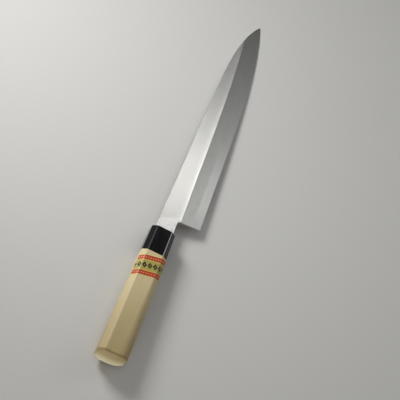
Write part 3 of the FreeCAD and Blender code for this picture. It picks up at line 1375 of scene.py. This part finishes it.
@dataclass
class Wrap:
    """The paper wrap that is folded, a little askew, over the top three faces of the handle."""

    columns: int = 84
    rows: int = 50
    length: float = 21.0 * MM
    top_depth: float = 0.4 * MM
    turn: float = math.radians(12)
    spare: float = 3.0 * MM
    clearance: float = 0.03 * MM
    thickness: float = 0.11 * MM
    smooth_angle: float = math.radians(35)

    def build(self, grip: bpy.types.Object) -> list[bpy.types.Object]:
        """Folds, seats, trims and dresses the sheet.

        Args:
            grip: The wooden handle that the sheet lies on.

        Returns:
            The sheet alone.
        """
        low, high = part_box(Node.LABEL.value)
        middle = (low + high) / 2
        fold = self.fold_place()
        drop = high.z - low.z
        reach = (high.x - low.x) / 2 - fold
        flap = math.hypot(reach, drop) + self.spare
        deselect_all()
        bpy.ops.mesh.primitive_grid_add(x_subdivisions=self.columns, y_subdivisions=self.rows, size=1.0,
                                        location=(middle.x, middle.y, high.z))
        sheet = bpy.context.active_object
        sheet.name = "wrap_sheet"
        sheet.data.name = "wrap_sheet"
        sheet.scale = (2 * (fold + flap), self.length, 1.0)
        sheet.rotation_euler = (0.0, 0.0, self.turn)
        bpy.ops.object.transform_apply(location=True, rotation=True, scale=True)
        for side in (-1, 1):
            self.fold_flap(sheet, middle.x + side * fold, high.z, side, math.atan2(drop, reach))
        apply_modifier(sheet, "SHRINKWRAP", {"target": grip, "offset": self.clearance,
                                             "wrap_method": "NEAREST_SURFACEPOINT",
                                             "wrap_mode": "OUTSIDE_SURFACE"})
        self.trim(sheet, low.z)
        apply_modifier(sheet, "SOLIDIFY", {"thickness": self.thickness, "offset": 1.0})
        activate(sheet)
        bpy.ops.object.shade_smooth_by_angle(angle=self.smooth_angle)
        sheet.data.materials.append(WrapPrint().make())
        return [settle(sheet, Node.LABEL)]

    def fold_place(self) -> float:
        """Measures the handle's top face under the sheet.

        Returns:
            Half its width.
        """
        _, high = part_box(Node.LABEL.value)
        top = [vertex.co.x for vertex in frame["nodes"][Node.LABEL.value].data.vertices
               if vertex.co.z > high.z - self.top_depth]
        return (max(top) - min(top)) / 2

    @staticmethod
    def fold_flap(sheet: bpy.types.Object, x: float, z: float, side: int, angle: float) -> None:
        """Turns the part of the sheet beyond a fold down onto the slanting face.

        Args:
            sheet: The flat sheet.
            x: The fold's place.
            z: The sheet's height.
            side: Which way the flap lies, -1 or 1.
            angle: How far the flap turns.
        """
        with editing(sheet):
            bpy.ops.mesh.select_mode(type="VERT")
            bpy.ops.mesh.select_all(action="DESELECT")
            mesh = bmesh.from_edit_mesh(sheet.data)
            for vertex in mesh.verts:
                vertex.select_set((vertex.co.x - x) * side > 0)
            mesh.select_flush_mode()
            bmesh.update_edit_mesh(sheet.data)
            bpy.ops.transform.rotate(value=-side * angle, orient_axis="Y", center_override=(x, 0.0, z))

    @staticmethod
    def trim(sheet: bpy.types.Object, z: float) -> None:
        """Cuts both ends of the sheet off at one height.

        Args:
            sheet: The folded sheet.
            z: The height of the cut.
        """
        with editing(sheet):
            bpy.ops.mesh.select_all(action="SELECT")
            bpy.ops.mesh.bisect(plane_co=(0.0, 0.0, z), plane_no=(0.0, 0.0, 1.0), clear_inner=True)


@dataclass
class Lamp:
    """One soft panel of light that faces the knife.

    Attributes:
        name: What it is called.
        direction: Which way it lies from the knife.
        distance: How far off it hangs, in metres.
        size: Its width and height, in metres.
        watts: Its power.
        spread: The angle that its light stays within.
    """

    name: str
    direction: tuple[float, float, float]
    distance: float
    size: tuple[float, float]
    watts: float
    spread: float = math.pi

    def build(self, target: Vector) -> bpy.types.Object:
        """Hangs the panel.

        Args:
            target: What it faces.

        Returns:
            The lamp.
        """
        towards = Vector(self.direction).normalized()
        deselect_all()
        bpy.ops.object.light_add(type="AREA", location=target + self.distance * towards)
        lamp = bpy.context.active_object
        lamp.name = self.name
        lamp.rotation_euler = towards.to_track_quat("Z", "Y").to_euler()
        lamp.data.shape = "RECTANGLE"
        lamp.data.size, lamp.data.size_y = self.size
        lamp.data.energy = self.watts
        lamp.data.spread = self.spread
        return lamp


@dataclass
class Studio:
    """Floor, light and camera."""

    floor_size: float = 12.0
    floor_gap: float = 0.05 * MM
    lens: float = 126.0
    sensor: float = 36.0
    azimuth: float = math.radians(-12.82)
    elevation: float = math.radians(55.563)
    roll: float = math.radians(37.315)
    distance: float = 1.2311
    aim: tuple[float, float, float] = (19.945 * MM, 48.066 * MM, 0.0)
    zenith: Colour = (0.08, 0.08, 0.082, 1.0)
    horizon: Colour = (0.32, 0.32, 0.32, 1.0)
    sky_rise: Stretch = (0.05, 0.45)

    def build(self) -> None:
        """Sets the whole studio up."""
        scene = bpy.context.scene
        scene.view_settings.view_transform = "Standard"
        target = MARKS.point(*self.aim)
        self.lay_floor()
        self.hang_sky()
        for lamp in self.lamps():
            lamp.build(target)
        self.place_camera(target)

    @staticmethod
    def lamps() -> list[Lamp]:
        """Lists the soft panels.

        Returns:
            The panels.
        """
        return [
            Lamp("left_panel", direction=(-0.766, 0.317, 0.56), distance=0.75, size=(0.26, 0.24),
                 watts=1.47, spread=math.radians(100)),
            Lamp("arris_window", direction=(-0.546, 0.477, 0.688), distance=1.29, size=(0.26, 0.26),
                 watts=0.35),
            Lamp("overhead_panel", direction=(0.01, 0.03, 1.00), distance=1.30, size=(1.20, 0.90),
                 watts=1.6),
            Lamp("heel_strip", direction=(0.012, 0.584, 0.812), distance=1.30, size=(0.444, 0.068),
                 watts=0.53),
            Lamp("bevel_window", direction=(0.405, 0.560, 0.723), distance=1.30, size=(0.26, 0.26),
                 watts=0.30),
            Lamp("right_strip", direction=(0.66, 0.55, 0.51), distance=1.30, size=(0.25, 0.50),
                 watts=1.9),
            Lamp("front_fill", direction=(-0.10, -0.97, 0.16), distance=1.50, size=(0.80, 0.40),
                 watts=1.30, spread=math.radians(70)),
        ]

    def lay_floor(self) -> None:
        """Lays a board under the knife where it rests on its tip and its ferrule."""
        tip = MARKS.tip
        resting = [vertex.co for node in (Node.FERRULE, Node.WOOD)
                   for vertex in frame["nodes"][node.value].data.vertices]
        slope = max((tip.z - place.z) / (tip.y - place.y) for place in resting)
        deselect_all()
        bpy.ops.mesh.primitive_plane_add(size=self.floor_size, rotation=(math.atan(slope), 0.0, 0.0),
                                         location=(tip.x, tip.y, tip.z - self.floor_gap))
        floor = bpy.context.active_object
        floor.name = "floor"
        floor.data.materials.append(PlainFloor().make())

    def hang_sky(self) -> None:
        """Makes the surroundings: pale low down and greyer overhead."""
        world = bpy.data.worlds.new("studio")
        bpy.context.scene.world = world
        world.use_nodes = True
        shader = Shader(world.node_tree)
        _, _, height = shader.axes(Coords.SKY)
        colour = shader.mix(height.rise(*self.sky_rise), self.horizon, self.zenith)
        sky = shader.node("ShaderNodeBackground", None, {"Color": colour, "Strength": 1.0})
        shader.node("ShaderNodeOutputWorld", None, {"Surface": sky.outputs[0]})

    def place_camera(self, target: Vector) -> None:
        """Puts the camera at the photograph's viewpoint.

        Args:
            target: The point at the middle of the picture.
        """
        side = Vector((math.cos(self.azimuth), math.sin(self.azimuth), 0.0))
        level = math.cos(self.elevation)
        back = Vector((side.y * level, -side.x * level, math.sin(self.elevation)))
        above = back.cross(side)
        right = math.cos(self.roll) * side + math.sin(self.roll) * above
        up = math.cos(self.roll) * above - math.sin(self.roll) * side
        deselect_all()
        bpy.ops.object.camera_add()
        camera = bpy.context.active_object
        place = Matrix((right, up, back)).transposed().to_4x4()
        place.translation = target + self.distance * back
        camera.matrix_world = place
        camera.data.lens = self.lens
        camera.data.sensor_width = self.sensor
        bpy.context.scene.camera = camera


def main() -> None:
    """Builds the knife piece by piece and sets the studio round it."""
    logging.basicConfig(level=logging.INFO, format="%(name)s: %(message)s")
    Blade().build()
    Ferrule().build()
    grip, = Grip().build()
    Wrap().build(grip)
    Studio().build()


if __name__ == "__main__":
    main()
